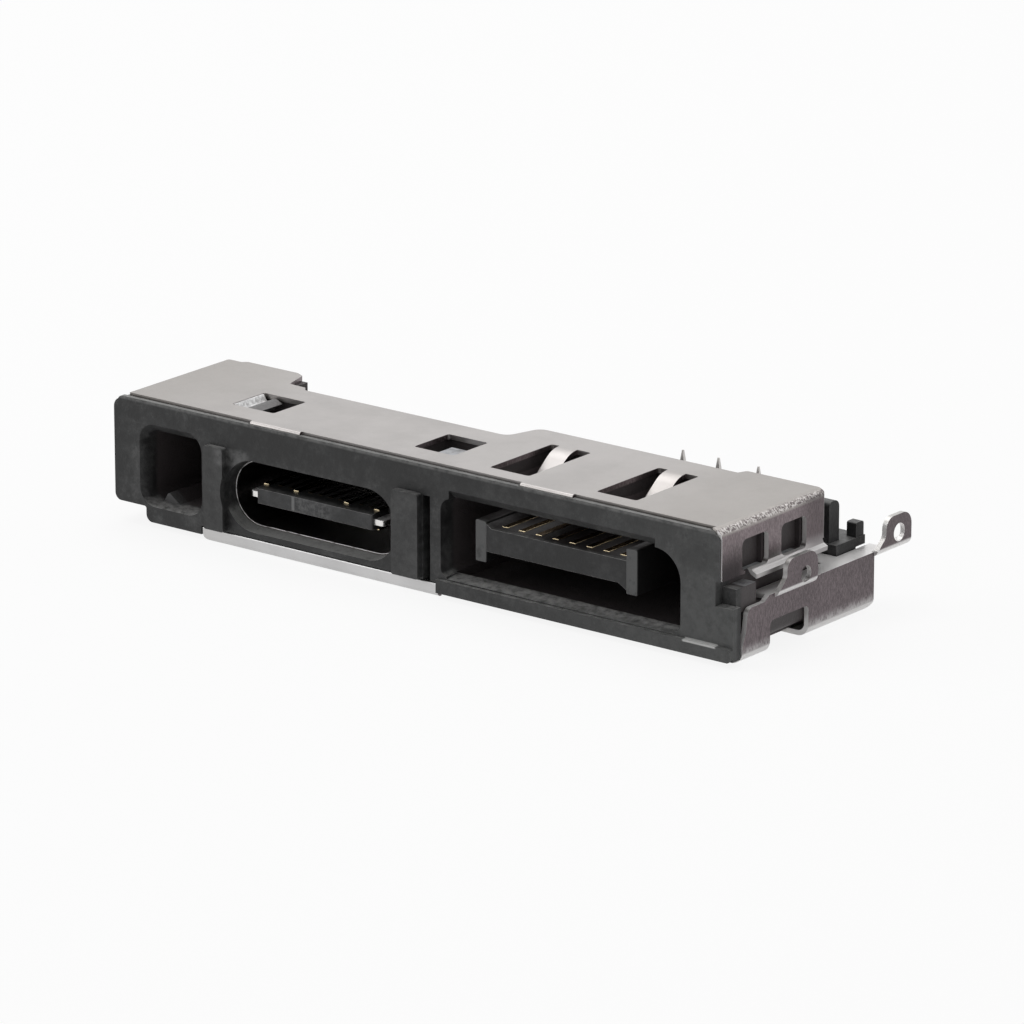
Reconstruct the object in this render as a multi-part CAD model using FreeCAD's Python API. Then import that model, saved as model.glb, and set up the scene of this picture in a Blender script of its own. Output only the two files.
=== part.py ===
import FreeCAD, Part
import math
import os

os.makedirs("parts", exist_ok=True)
Vector = FreeCAD.Vector

# Side power and docking jack of a laptop, shown board side up.
# While it is drawn, X runs along the ports from the left end, Y from the face to the rear, Z up from the
# underside. At the end every piece moves so that the origin lies under the middle of the whole part.

# Driving sizes, millimetres
seat_height = 5.03        # underside to the plane that the cover lies on
sheet = 0.2               # steel of the cover and of the lower shield
play = 0.05               # room between a piece and its seat
board_seat = 2.3          # upper side of the solder flanges, where the board rests
rib_stand = 0.3           # how far the ribs stand in front of the face
lip_stand = 0.18          # how far the lower lip stands in front of the face
tongue_recess = 0.3       # both tongues end this far behind the face

# Guide slot and USB-C port, from the left end to the right
guide_block = 5.6         # left end to the USB-C port's section
port_left_wall = 0.13     # from there to the inside of the port's tube
port_right_wall = 1.78    # from the tube's inside to the network section
usb_height = 2.22         # underside to the middle of the port
front_depth = 6.15        # depth of the front housing at the guide slot and the network port
port_depth = 4.6          # its depth round the USB-C tube

# Steel tube and tongue of the USB-C port, as the plug's standard gives them
tube_width = 8.34
tube_height = 2.56
tube_wall = 0.25
tube_recess = 0.6         # its rim lies this far behind the face
tube_overhang = 1.15      # how far the tube stands out behind the front housing
tongue_width = 6.69
tongue_thickness = 0.7
tongue_nose = 5.76        # plastic width at the tongue's front, between the latches of its middle plate
collar_half = 0.85        # half the height of the thicker collar at the tongue's rear
collar_front = 4.45       # where the collar starts
root_front = 5.0          # where the tongue's root starts to fill the tube
port_pitch = 0.5
port_contacts = 12

# Network port
frame_wall = 0.51         # plastic beside the network cavity at its left
pillar = 1.8              # plastic beside it at its right
keyed_left_gap = 1.46     # room between the cavity's left side and the network tongue
keyed_right_gap = 2.24    # the same at its right
cavity_floor = 0.9
roof_depth = 1.03         # plastic and air above the cavity, up to the cover's seat
root_wall = 0.95          # thickness of the plastic that closes the cavity's rear
keyed_width = 7.64        # network tongue over its two end walls
keyed_drop = 0.92         # from the cavity's top to the tongue's upper side
keyed_thickness = 0.93
blade_pitch = 0.8
blade_count = 8
blade_width = 0.3
blade_thickness = 0.12

# Steel outside the plastic
cover_inset = 0.6         # cover's left edge, in from the left end
cover_front = 0.28        # cover's front edge, behind the face
cover_fold = 0.45         # outer radius of the cover's fold
shield_reach = 0.65       # lower shield's side wall, outside the face's right edge
shield_fold = 0.5         # outer radius of the lower shield's fold
shield_overhang = 2.77    # how far the lower shield reaches behind the front housing
strip_width = 0.78        # solder flange at the rear
flange_width = 1.75       # the same flange below the cover
flange_run = 1.4          # length of the wide part of the flange behind the front housing
eye_stand = 0.2           # eye tabs stand this far outside that wall

# Places that follow from the sizes above
tube_rear = front_depth + tube_overhang
cavity_depth = front_depth - root_wall
shield_rear = front_depth + shield_overhang
flange_end = front_depth + flange_run
tube_left = guide_block + port_left_wall
tube_right = tube_left + tube_width
usb_middle = (tube_left + tube_right) / 2
network_left = tube_right + port_right_wall
tube_bottom = usb_height - tube_height / 2
tube_top = usb_height + tube_height / 2
tube_radius = tube_height / 2 - 0.02
tongue_low = usb_height - tongue_thickness / 2
tongue_high = usb_height + tongue_thickness / 2
cavity_left = network_left + frame_wall
keyed_left = cavity_left + keyed_left_gap
keyed_right = keyed_left + keyed_width
cavity_right = keyed_right + keyed_right_gap
face_length = cavity_right + pillar
cavity_top = seat_height - roof_depth
keyed_top = cavity_top - keyed_drop
keyed_bottom = keyed_top - keyed_thickness
cover_top = seat_height + sheet
cover_wall = face_length + play
under_cover = cover_wall - sheet - play
shield_wall = face_length + shield_reach
under_shield = shield_wall - sheet - play
above_shield = sheet + play
flange_inner = shield_wall - flange_width
strip_inner = shield_wall - strip_width
rib_left = guide_block - 0.8
rib_right = network_left - 0.39
eye_plane = shield_wall + eye_stand
lip_underside = above_shield - 0.03
wing_left = network_left + 0.35


def box(x0, x1, y0, y1, z0, z1):
    """A block between two corners."""
    return Part.makeBox(x1 - x0, y1 - y0, z1 - z0, Vector(x0, y0, z0))


def fuse(first, *others):
    """One solid from touching or overlapping shapes."""
    return first.fuse(list(others)).removeSplitter()


def outline(corners, place):
    """A closed wire of straight stretches and corner arcs. Each corner is (a, b, radius)."""
    count = len(corners)
    stations = []
    for index in range(count):
        a, b, radius = corners[index]
        here = Vector(a, b, 0)
        before = Vector(corners[index - 1][0], corners[index - 1][1], 0)
        after = Vector(corners[(index + 1) % count][0], corners[(index + 1) % count][1], 0)
        toward = (before - here).normalize()
        away = (after - here).normalize()
        if radius <= 0:
            stations.append((here, here, here))
            continue
        half = toward.getAngle(away) / 2
        reach = radius / math.tan(half)
        middle = (toward + away).normalize()
        centre = here + middle * (radius / math.sin(half))
        stations.append((here + toward * reach, centre - middle * radius, here + away * reach))
    edges = []
    for index in range(count):
        start, top, end = stations[index]
        if (end - start).Length > 1e-6:
            edges.append(Part.Arc(place(start), place(top), place(end)).toShape())
        following = stations[(index + 1) % count][0]
        if (following - end).Length > 1e-6:
            edges.append(Part.makeLine(place(end), place(following)))
    return Part.Wire(edges)


def plan(corners, z0, z1):
    """A plate drawn from above, as (x, y, radius) corners."""
    wire = outline(corners, lambda p: Vector(p.x, p.y, z0))
    return Part.Face(wire).extrude(Vector(0, 0, z1 - z0))


def front(corners, y0, y1):
    """A body drawn from the front, as (x, z, radius) corners."""
    wire = outline(corners, lambda p: Vector(p.x, y0, p.y))
    return Part.Face(wire).extrude(Vector(0, y1 - y0, 0))


def side(corners, x0, x1):
    """A body drawn from the side, as (y, z, radius) corners."""
    wire = outline(corners, lambda p: Vector(x0, p.x, p.y))
    return Part.Face(wire).extrude(Vector(x1 - x0, 0, 0))


def rounded(a0, a1, b0, b1, radius):
    """Corners of a rectangle with the same radius all round."""
    return [(a0, b0, radius), (a1, b0, radius), (a1, b1, radius), (a0, b1, radius)]


def bent_strip(path, thickness, radius, x0, x1):
    """A strip of sheet bent along a (y, z) path that is its upper side, from front to rear."""
    lower = []
    count = len(path)
    for index in range(count):
        here = Vector(path[index][0], path[index][1], 0)
        before = Vector(*path[max(index - 1, 0)], 0)
        after = Vector(*path[min(index + 1, count - 1)], 0)
        arriving = (here - before).normalize() if index > 0 else (after - here).normalize()
        leaving = (after - here).normalize() if index < count - 1 else arriving
        middle = (arriving + leaving).normalize()
        normal = Vector(middle.y, -middle.x, 0)
        stretch = thickness / max(normal.dot(Vector(arriving.y, -arriving.x, 0)), 0.3)
        lower.append(here + normal * stretch)
    corners = []
    for index in range(count):
        bend = radius if 0 < index < count - 1 else 0
        corners.append((path[index][0], path[index][1], bend))
    for index in reversed(range(count)):
        bend = radius if 0 < index < count - 1 else 0
        corners.append((lower[index].x, lower[index].y, bend))
    return side(corners, x0, x1)


def funnel(x0, x1, z0, z1, radius, grow, y0, y1):
    """A rounded lead-in; grow is how much wider it is at y0: left, right, bottom and top."""
    left, right, bottom, top = grow
    wide = min(radius + max(grow), (z1 + top - z0 + bottom) / 2 - 0.01)
    near = outline([(x0 - left, z0 - bottom, wide), (x1 + right, z0 - bottom, wide),
                    (x1 + right, z1 + top, wide), (x0 - left, z1 + top, wide)],
                   lambda p: Vector(p.x, y0, p.y))
    far = outline(rounded(x0, x1, z0, z1, radius), lambda p: Vector(p.x, y1, p.y))
    return Part.makeLoft([near, far], True, True)


# Windows of the cover as left, right, front and rear, and how deep the plastic is open below each
network_middle = (cavity_left + cavity_right) / 2
window_width = 1.88
latch_window = (guide_block - 0.82, guide_block + 1.3, 1.5, 3.47)
boss_window = (network_left - 1.88, network_left + 0.05, 1.38, 3.5)
left_window = (network_middle - 4.11, network_middle - 4.11 + window_width, 1.03, 4.87)
right_window = (network_middle + 0.95, network_middle + 0.95 + window_width, 1.03, 4.92)
windows = ((latch_window, 0.95), (boss_window, 1.2), (left_window, 1.1), (right_window, 1.1))

# Small tabs on the cover's front edge
tab_width = 2.48
front_tabs = (guide_block + 1.26, network_middle - 1.96)

# Windows in the cover's side wall, as front, rear, bottom and top
side_windows = ((1.3, 2.95, 3.28, seat_height - 0.5), (3.75, 5.35, 3.28, seat_height - 0.5))

# Eye tabs as front, rear, top, then the eye's middle along Y and Z and its radius
front_eye = (3.05, 5.0, board_seat + 1.18, 4.25, board_seat + 0.35, 0.32)
rear_eye = (shield_rear + 0.48, shield_rear + 2.13, board_seat + 1.22, shield_rear + 1.33, board_seat + 0.5, 0.36)


def front_housing():
    """One black moulding: guide slot, seat of the USB-C tube and frame of the network port."""
    lip_rise = 0.1
    lip_depth = 0.2
    step_run = 1.6
    step_rise = 0.83
    steel_top = 0.57
    shoulder_top = board_seat - sheet - play
    corner = 0.3

    guide = front([(0, step_rise, 0.3), (step_run, step_rise, 0.1), (step_run, lip_underside, 0.3),
                   (guide_block, lip_underside, 0), (guide_block, seat_height, 0), (0, seat_height, 0.4)],
                  0, front_depth)
    steel_left = guide_block - 1.17
    guide = guide.cut(box(steel_left, guide_block + 1, -1, front_depth + 1, -1, above_shield))
    guide = guide.cut(box(steel_left, guide_block + 1, -1, 0.3, -1, steel_top))
    guide = guide.cut(box(guide_block - 0.85, guide_block + 1, port_depth + 0.35, front_depth + 1,
                          board_seat, cover_top))
    centre = box(guide_block - 0.1, network_left, 0.35, port_depth, above_shield, seat_height)
    centre_face = box(guide_block - 0.1, network_left, 0, 0.4, steel_top, seat_height)
    network = box(network_left, under_cover, 0, front_depth, above_shield, seat_height)
    network_foot = box(wing_left + play, under_cover, 0, 0.8, lip_underside, cavity_floor)
    shoulder = front([(under_cover - 1, above_shield + 0.3, 0), (under_shield, above_shield + 0.3, 0.25),
                      (under_shield, shoulder_top, 0), (under_cover - 1, shoulder_top, 0)], 0.9, front_depth)
    right_edge = front([(under_cover - 0.1, 3.2, 0), (face_length, 3.2, 0), (face_length, seat_height, corner),
                        (under_cover - 0.1, seat_height, 0)], 0, play)
    cheek = box(under_cover - 0.1, shield_wall - play, 0, 0.5, lip_underside, shoulder_top + sheet)
    lug = box(under_cover - 0.1, under_shield, 0.45, 1.7, shoulder_top - 0.1, board_seat + 0.6)
    top_lip = front([(0.2, seat_height - 0.2, 0), (face_length - 0.15, seat_height - 0.2, 0),
                     (face_length - 0.15, seat_height + lip_rise, 0.25),
                     (0.2, seat_height + lip_rise, 0.25)], 0, lip_depth)
    lower_lip = front([(wing_left + play, lip_underside, 0), (shield_wall - play, lip_underside, 0.15),
                       (shield_wall - play, cavity_floor - 0.15, 0.1),
                       (wing_left + play, cavity_floor - 0.15, 0)], -lip_stand, 0.1)
    shape = fuse(guide, centre, centre_face, network, network_foot, shoulder, right_edge, cheek, lug,
                 top_lip, lower_lip)

    # Room for the inside of the cover's fold
    shape = shape.cut(front([(under_cover - corner, seat_height, 0), (under_cover, seat_height - corner, 0),
                             (under_cover + 1, seat_height - corner, 0), (under_cover + 1, cover_top, 0),
                             (under_cover - corner, cover_top, 0)], play, front_depth + 1))

    # Corner where the network section meets the steel under the USB-C port
    shape = shape.cut(front([(network_left - 0.5, -0.5, 0), (wing_left + play, -0.5, 0),
                             (wing_left + play, steel_top - 0.1, 0), (network_left + 0.2, steel_top, 0),
                             (network_left - 0.5, steel_top, 0)], -1, 0.35))

    # Ribs beside the USB-C port and the groove between the right one and the network section
    rib_top = seat_height - 1.05
    groove_left = rib_right
    for left, right in ((rib_left, tube_left + 0.04), (tube_right + 0.1, rib_right)):
        shape = shape.fuse(front([(left, steel_top + 0.04, 0.08), (right, steel_top + 0.04, 0.08),
                                  (right, rib_top, 0.12), (left, rib_top, 0.12)], -rib_stand, 0.3))
    shape = shape.cut(box(groove_left + 0.04, network_left, -1, 0.9, -1, rib_top - play))

    # Guide slot with its wide lead-in and the ridge on its floor
    slot_left = 1.5
    slot_right = guide_block - 1.18
    slot_floor = 0.97
    slot_roof = seat_height - 1.13
    slot_depth = 5.3
    slot_radius = 0.42
    shape = shape.cut(front(rounded(slot_left, slot_right, slot_floor, slot_roof, slot_radius), -1, slot_depth))
    shape = shape.cut(funnel(slot_left, slot_right, slot_floor, slot_roof, slot_radius,
                             (0.24, 0.08, 0.12, 0.38), -0.06, 0.36))
    ridge_left = slot_left + 0.45
    shape = shape.fuse(front([(ridge_left, slot_floor - 0.1, 0), (ridge_left + 1.0, slot_floor - 0.1, 0),
                              (ridge_left + 0.3, slot_floor + 0.42, 0.1)], 0.6, slot_depth + 0.1))

    # USB-C opening: a lead-in at the front, then the seat of the tube
    rim = 0.06
    shape = shape.cut(funnel(tube_left - rim, tube_right + rim, tube_bottom - rim, tube_top + rim,
                             tube_radius + rim - 0.02, (0.01, 0.06, 0.13, 0.18), -rib_stand - 0.06, tube_recess))
    around = tube_wall + play
    shape = shape.cut(front(rounded(tube_left - around, tube_right + around, tube_bottom - around,
                                    tube_top + around, tube_radius + around), tube_recess, front_depth + 1))

    # Network opening with a bevel along its upper edge
    roof_radius = 1.2
    shape = shape.cut(front([(cavity_left, cavity_floor, 0.3), (cavity_right, cavity_floor, 0.3),
                             (cavity_right, cavity_top, roof_radius), (cavity_left, cavity_top, 0.5)],
                            -1, front_depth + 1))
    ledge_depth = 0.7
    shape = shape.cut(box(cavity_left + 0.2, cavity_right - 0.2, ledge_depth, front_depth + 1,
                          cavity_floor - 0.35, cavity_floor + 0.5))
    shape = shape.cut(side([(-0.01, cavity_floor + 0.1, 0), (-0.01, cavity_floor - 0.1, 0),
                            (ledge_depth, cavity_floor, 0), (ledge_depth, cavity_floor + 0.1, 0)],
                           cavity_left + 0.3, cavity_right - 0.3))
    shape = shape.cut(side([(-0.01, cavity_top - 0.1, 0), (0.45, cavity_top - 0.1, 0),
                            (-0.01, cavity_top + 0.34, 0)], cavity_left + 0.4, cavity_right - roof_radius))

    # Pockets under the windows and the front tabs of the cover
    for (x0, x1, y0, y1), depth in windows:
        shape = shape.cut(box(x0 - 0.1, x1 + 0.1, y0 - 0.1, y1 + 0.1, seat_height - depth, seat_height + 0.01))
    boss_left = boss_window[0] + 0.48
    boss_front = boss_window[2] + 0.32
    boss_rear = boss_window[3] - 0.4
    shape = shape.fuse(box(boss_left, boss_left + 0.75, boss_front, boss_rear, seat_height - 1.3,
                           seat_height - 0.15))
    for left in front_tabs:
        shape = shape.cut(box(left - play, left + tab_width + play, 0.05, cover_front + 0.2,
                              seat_height - 0.35, seat_height + 1))

    # Shallow recesses behind the windows of the cover's side wall
    for y0, y1, z0, z1 in side_windows:
        shape = shape.cut(box(under_cover - 0.22, under_cover + 0.01, y0 + 0.1, y1 - 0.1, z0 - play, z1 - 0.12))
    return shape.removeSplitter()


finger_width = 0.86
finger_bend = 1.2


def spring_finger(window, offset):
    """A finger of the cover that roots on a window's rear edge and dips into the network cavity."""
    root = window[3]
    tip = cavity_top - 0.14
    run = 2.05
    return side([(root + 0.05, cover_top, 0), (root - 0.45, cover_top, finger_bend), (root - run, tip + 0.12, 0.3),
                 (root - run - 0.55, tip + 0.34, 0), (root - run - 0.67, tip + 0.22, 0),
                 (root - run, tip, 0.3), (root - 0.39, seat_height, finger_bend - sheet),
                 (root + 0.05, seat_height, 0)],
                window[0] + offset, window[0] + offset + finger_width)


def top_cover():
    """One folded steel sheet: top with windows and spring fingers, side wall and flared skirt."""
    fold_x = cover_wall - cover_fold
    rear_guide = front_depth + 0.27
    rear_port = port_depth + 0.12
    rear_network = front_depth + 0.09
    rear_corner = front_depth + 0.48
    notch_x = guide_block - 1.17
    step_x = face_length - 3.7
    top = plan([(cover_inset, cover_front, 0), (fold_x, cover_front, 0), (fold_x, rear_corner, 0),
                (step_x + 0.05, rear_corner, 0.15), (step_x - 0.1, rear_network, 0),
                (network_left + 0.45, rear_network, 0.45), (network_left, rear_port, 0.45),
                (guide_block + 0.15, rear_port, 0.25), (guide_block, rear_port + 0.28, 0.1),
                (notch_x + 0.32, rear_port + 0.33, 0.12), (notch_x, rear_guide - 0.2, 0.1),
                (notch_x - 0.4, rear_guide, 0.2), (cover_inset + 0.85, rear_guide, 0.1),
                (cover_inset + 0.65, rear_guide - 0.17, 0.1), (cover_inset, rear_guide - 0.17, 0.12)],
               seat_height, cover_top)
    wall_front = 0.06
    wall_rear = front_depth + 0.55
    corner_bend = 0.35
    fold = front([(fold_x, seat_height, 0), (fold_x, cover_top, 0), (cover_wall, cover_top, cover_fold),
                  (cover_wall, cover_top - cover_fold - 0.05, 0),
                  (cover_wall - sheet, cover_top - cover_fold - 0.05, 0),
                  (cover_wall - sheet, seat_height, cover_fold - sheet)], wall_front, rear_corner)
    rear_arc = plan([(fold_x - 0.3, wall_front - 1, 0), (cover_wall, wall_front - 1, 0),
                     (cover_wall, wall_rear, corner_bend), (fold_x - 0.3, wall_rear, 0)],
                    seat_height - 1, cover_top)
    fold = fold.common(rear_arc)
    wall_bottom = board_seat + 0.9
    skirt_front = 1.5
    wall = side([(wall_front, wall_bottom, 0.1), (skirt_front, wall_bottom, 0),
                 (skirt_front, wall_bottom + 0.15, 0), (wall_rear - corner_bend, wall_bottom + 0.15, 0),
                 (wall_rear - corner_bend, cover_top - cover_fold, 0),
                 (wall_front, cover_top - cover_fold, 0)], cover_wall - sheet, cover_wall)
    rear_flap = plan([(cover_wall, wall_rear - corner_bend, 0), (cover_wall, wall_rear, corner_bend),
                      (cover_wall - 0.9, wall_rear, 0), (cover_wall - 0.9, wall_rear - sheet, 0),
                      (cover_wall - sheet, wall_rear - sheet, corner_bend - sheet),
                      (cover_wall - sheet, wall_rear - corner_bend, 0)],
                     wall_bottom + 0.15, cover_top - cover_fold)
    flap_top = box(cover_wall - 0.9, fold_x, wall_rear - sheet, wall_rear, cover_top - cover_fold - 0.05,
                   seat_height + 0.05)
    skirt = front([(cover_wall - sheet, wall_bottom + 0.2, 0), (cover_wall, wall_bottom + 0.2, 0),
                   (cover_wall + 0.08, wall_bottom + 0.02, 0.08), (cover_wall + 0.27, wall_bottom - 0.08, 0),
                   (cover_wall + 0.25, wall_bottom - 0.25, 0), (cover_wall, wall_bottom - 0.13, 0.15),
                   (cover_wall - sheet, wall_bottom + 0.12, 0.1)], skirt_front + 0.35, wall_rear - corner_bend)
    shape = fuse(top, fold, wall, rear_flap, flap_top, skirt)
    for (x0, x1, y0, y1), depth in windows:
        shape = shape.cut(plan(rounded(x0, x1, y0, y1, 0.12), seat_height - 0.1, cover_top + 0.1))
    for y0, y1, z0, z1 in side_windows:
        corner = min(0.25, 0.4 * (z1 - z0))
        shape = shape.cut(side(rounded(y0, y1, z0, z1, corner), cover_wall - 1, cover_wall + 1))
    for left in front_tabs:
        tab = side([(cover_front - 0.16, seat_height + 0.04, 0), (cover_front - 0.16, cover_top, 0.12),
                    (cover_front + 0.1, cover_top, 0), (cover_front + 0.1, seat_height + 0.04, 0)],
                   left, left + tab_width)
        shape = shape.fuse(tab)
    shape = shape.fuse([spring_finger(left_window, 0.36), spring_finger(right_window, 0.42)])
    latch_x = latch_window[0]
    latch_front = latch_window[2] + 0.1
    latch_rear = latch_window[3] - 0.12
    latch = front([(latch_x - 0.05, seat_height, 0), (latch_x - 0.05, cover_top, 0),
                   (latch_x + 0.08, cover_top - 0.03, 0), (latch_x + 0.26, cover_top - 0.3, 0.1),
                   (latch_x + 0.64, cover_top - 0.06, 0.3), (latch_x + 1.02, cover_top - 0.24, 0),
                   (latch_x + 0.95, cover_top - 0.4, 0), (latch_x + 0.63, cover_top - 0.24, 0.2),
                   (latch_x + 0.27, cover_top - 0.49, 0.1)], latch_front, latch_rear)
    return shape.fuse(latch).removeSplitter()


def lower_shield():
    """One folded steel sheet: bottom, turned-up front edge, side wall, solder flange and two eye tabs."""
    steel_left = guide_block - 1.1
    port_rear = tube_rear + 0.2
    fold_x = shield_wall - shield_fold
    bottom = plan([(steel_left, 0.2, 0.3), (network_left - 0.1, 0.2, 0), (network_left + 0.1, 0.85, 0.1),
                   (fold_x, 0.85, 0), (fold_x, shield_rear, 0), (wing_left, shield_rear, 0.3),
                   (wing_left, port_rear, 0.3), (steel_left, port_rear, 0.3)], 0, sheet)
    turned_edge = side([(0.25, 0, 0), (0.0, 0, 0.2), (0.0, 0.53, 0.05), (0.15, 0.53, 0.05),
                        (0.15, sheet, 0.05), (0.25, sheet, 0)], steel_left, wing_left)
    turned_edge = turned_edge.common(front([(steel_left, 0, 0.35), (wing_left, 0, 0), (wing_left, 0.6, 0),
                                            (steel_left, 0.6, 0.1)], -1, 1))
    fold = front([(fold_x, 0, 0), (shield_wall, 0, shield_fold), (shield_wall, shield_fold + 0.05, 0),
                  (shield_wall - sheet, shield_fold + 0.05, 0),
                  (shield_wall - sheet, sheet, shield_fold - sheet), (fold_x, sheet, 0)], 0.55, shield_rear)
    rear_round = side([(0.0, -1, 0), (shield_rear - 0.25, -1, 0), (shield_rear - 0.25, 0, 0.1),
                       (shield_rear, 0.3, 0.2), (shield_rear, 3, 0), (0.0, 3, 0)], fold_x - 1, shield_wall + 1)
    flange_low = board_seat - sheet
    wall = side([(0.55, shield_fold, 0), (shield_rear, shield_fold, 0), (shield_rear, board_seat, 0),
                 (2.2, board_seat, 0), (1.9, flange_low, 0.1), (0.9, flange_low, 0.3),
                 (0.75, flange_low - 0.9, 0.5), (0.55, shield_fold + 0.2, 0.1)], shield_wall - sheet, shield_wall)
    flange = box(flange_inner, shield_wall - 0.1, front_depth + 0.42, flange_end, flange_low, board_seat)
    strip = box(strip_inner, shield_wall - 0.1, 2.2, rear_eye[0] + 0.3, flange_low, board_seat)
    shape = fuse(bottom, turned_edge, fold.common(rear_round), wall, flange, strip)

    # Opening in the side wall that reaches round the lower fold
    notch_front = 2.28
    notch_rear = 4.7
    notch_top = 1.28
    notch_radius = 0.22
    shape = shape.cut(side([(notch_front, -0.5, 0), (notch_rear, -0.5, 0), (notch_rear, notch_top, notch_radius),
                            (notch_front, notch_top, notch_radius)], fold_x - 0.75, shield_wall + 1))
    tab_bend = 0.35
    flare = 0.5
    for y0, y1, top, eye_y, eye_z, eye_radius in (front_eye, rear_eye):
        plate = side([(y0 - flare, flange_low, 0), (y1, flange_low, 0), (y1, top, 0.55), (y0, top, 0.45),
                      (y0, board_seat + 0.5, 0.3), (y0 - flare, board_seat + 0.05, 0)],
                     shield_wall - 0.5, eye_plane)
        profile = front([(shield_wall - 0.45, flange_low, 0), (eye_plane, flange_low, tab_bend),
                         (eye_plane, top, 0), (eye_plane - sheet, top, 0),
                         (eye_plane - sheet, board_seat, tab_bend - sheet),
                         (shield_wall - 0.45, board_seat, 0)], y0 - flare, y1)
        eye = Part.makeCylinder(eye_radius, 2, Vector(eye_plane - 1, eye_y, eye_z), Vector(1, 0, 0))
        shape = shape.fuse(plate.common(profile)).cut(eye)
    return shape.removeSplitter()


def usb_shell():
    """Drawn steel tube of the USB-C port with two solder feet at its rear."""
    outer = front(rounded(tube_left - tube_wall, tube_right + tube_wall, tube_bottom - tube_wall,
                          tube_top + tube_wall, tube_radius + tube_wall), tube_recess, tube_rear)
    inner = front(rounded(tube_left, tube_right, tube_bottom, tube_top, tube_radius), -1, tube_rear + 1)
    shape = outer.cut(inner)
    foot_reach = 0.75
    foot_front = tube_rear - 0.95
    foot_root = 0.15
    for left in (tube_left - tube_wall - foot_reach, tube_right + tube_wall - foot_root):
        foot = box(left, left + foot_reach + foot_root, foot_front, tube_rear - 0.05,
                   board_seat - sheet, board_seat)
        shape = shape.fuse(foot.cut(inner))
    return shape.removeSplitter()


usb_blade_width = 0.24
usb_blade_thickness = 0.12
long_blades = (0, 3, 8, 11)     # ground and supply contacts, which meet the plug first


def usb_blade_span(index):
    """Left and right side of one contact of either USB-C row."""
    middle = usb_middle + (index - (port_contacts - 1) / 2) * port_pitch
    return middle - usb_blade_width / 2, middle + usb_blade_width / 2


def usb_blade_tip(index):
    """Front end of that contact."""
    return tongue_recess + (0.42 if index in long_blades else 0.67)


def usb_blade_height(index):
    """How far that contact stands out of the tongue."""
    return 0.06 if index in long_blades else 0.01


def usb_upper_contact(index):
    """Blade on the tongue's upper side; its tail steps down to the board behind the tube."""
    x0, x1 = usb_blade_span(index)
    bend = tube_rear + 0.2
    height = tongue_high + usb_blade_height(index)
    path = [(usb_blade_tip(index), height), (bend, height), (bend + 0.1, board_seat), (bend + 0.8, board_seat)]
    return bent_strip(path, usb_blade_thickness, 0, x0, x1)


def usb_lower_contact(index):
    """Blade on the tongue's lower side; its tail passes under the upper row and rises behind it."""
    x0, x1 = usb_blade_span(index)
    bend = tube_rear + 1.4
    height = tongue_low + usb_blade_thickness - usb_blade_height(index)
    path = [(usb_blade_tip(index), height), (bend, height), (bend + 0.1, board_seat), (bend + 1.0, board_seat)]
    return bent_strip(path, usb_blade_thickness, 0, x0, x1)


def usb_mid_plate():
    """Steel plate in the middle of the tongue; its corners stand out as side latches."""
    thickness = 0.24
    latch = tongue_width / 2 - 0.02
    neck = latch - 0.3
    latch_front = tongue_recess + 0.12
    latch_rear = tongue_recess + 1.6
    rear = tube_rear - 0.2
    right_half = [(latch, latch_front, 0.18), (latch, latch_rear, 0.1), (neck, latch_rear + 0.3, 0.1),
                  (neck, rear, 0)]
    corners = [(usb_middle + x, y, r) for x, y, r in right_half]
    corners += [(usb_middle - x, y, r) for x, y, r in reversed(right_half)]
    return plan(corners, usb_height - thickness / 2, usb_height + thickness / 2)


def usb_tongue(embedded):
    """Moulded tongue with its thicker root that fills the rear of the tube."""
    half = tongue_width / 2
    narrow = tongue_nose / 2
    shoulder = tongue_recess + 1.0
    nose_half = 0.3
    right_half = [(narrow, tongue_recess, 0.08), (narrow, shoulder, 0), (half, shoulder + 0.3, 0),
                  (half, root_front + 0.5, 0)]
    corners = [(usb_middle + x, y, r) for x, y, r in right_half]
    corners += [(usb_middle - x, y, r) for x, y, r in reversed(right_half)]
    blade = plan(corners, tongue_low, tongue_high)
    bevelled = side([(tongue_recess, usb_height - nose_half, 0), (tongue_recess + 0.3, tongue_low, 0),
                     (root_front + 0.5, tongue_low, 0), (root_front + 0.5, tongue_high, 0),
                     (tongue_recess + 0.3, tongue_high, 0), (tongue_recess, usb_height + nose_half, 0)],
                    usb_middle - half, usb_middle + half)
    collar = box(usb_middle - half - 0.1, usb_middle + half + 0.1, collar_front, root_front + 0.2,
                 usb_height - collar_half, usb_height + collar_half)
    hug = 0.02
    root = front(rounded(tube_left + hug, tube_right - hug, tube_bottom + hug, tube_top - hug, tube_radius - hug),
                 root_front, tube_rear - 0.1)
    return fuse(blade.common(bevelled), collar, root).cut(embedded)


def usb_ground_plate(upward):
    """Thin bent plate over the tongue's collar that touches the plug's shell; upward is 1 or -1."""
    thickness = 0.1
    seat = usb_height + upward * collar_half
    outer = seat + upward * thickness
    apron_end = usb_height + upward * (collar_half - 0.23)
    apron_front = collar_front - thickness
    rear = root_front - 0.02
    half = tongue_width / 2 - 0.45
    return side([(apron_front, apron_end, 0), (apron_front, outer, 0), (rear, outer, 0), (rear, seat, 0),
                 (collar_front, seat, 0), (collar_front, apron_end, 0)], usb_middle - half, usb_middle + half)


def network_contact(index):
    """Gold blade along the network tongue; its tail comes down at the rear to the board."""
    row_left = (keyed_left + keyed_right - (blade_count - 1) * blade_pitch) / 2
    x0 = row_left + index * blade_pitch - blade_width / 2
    top = keyed_top + 0.02
    bend = front_depth + 1.4
    path = [(tongue_recess + 0.5, top), (bend, top), (bend + 0.15, board_seat), (bend + 2.75, board_seat)]
    return bent_strip(path, blade_thickness, 0, x0, x0 + blade_width)


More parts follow.
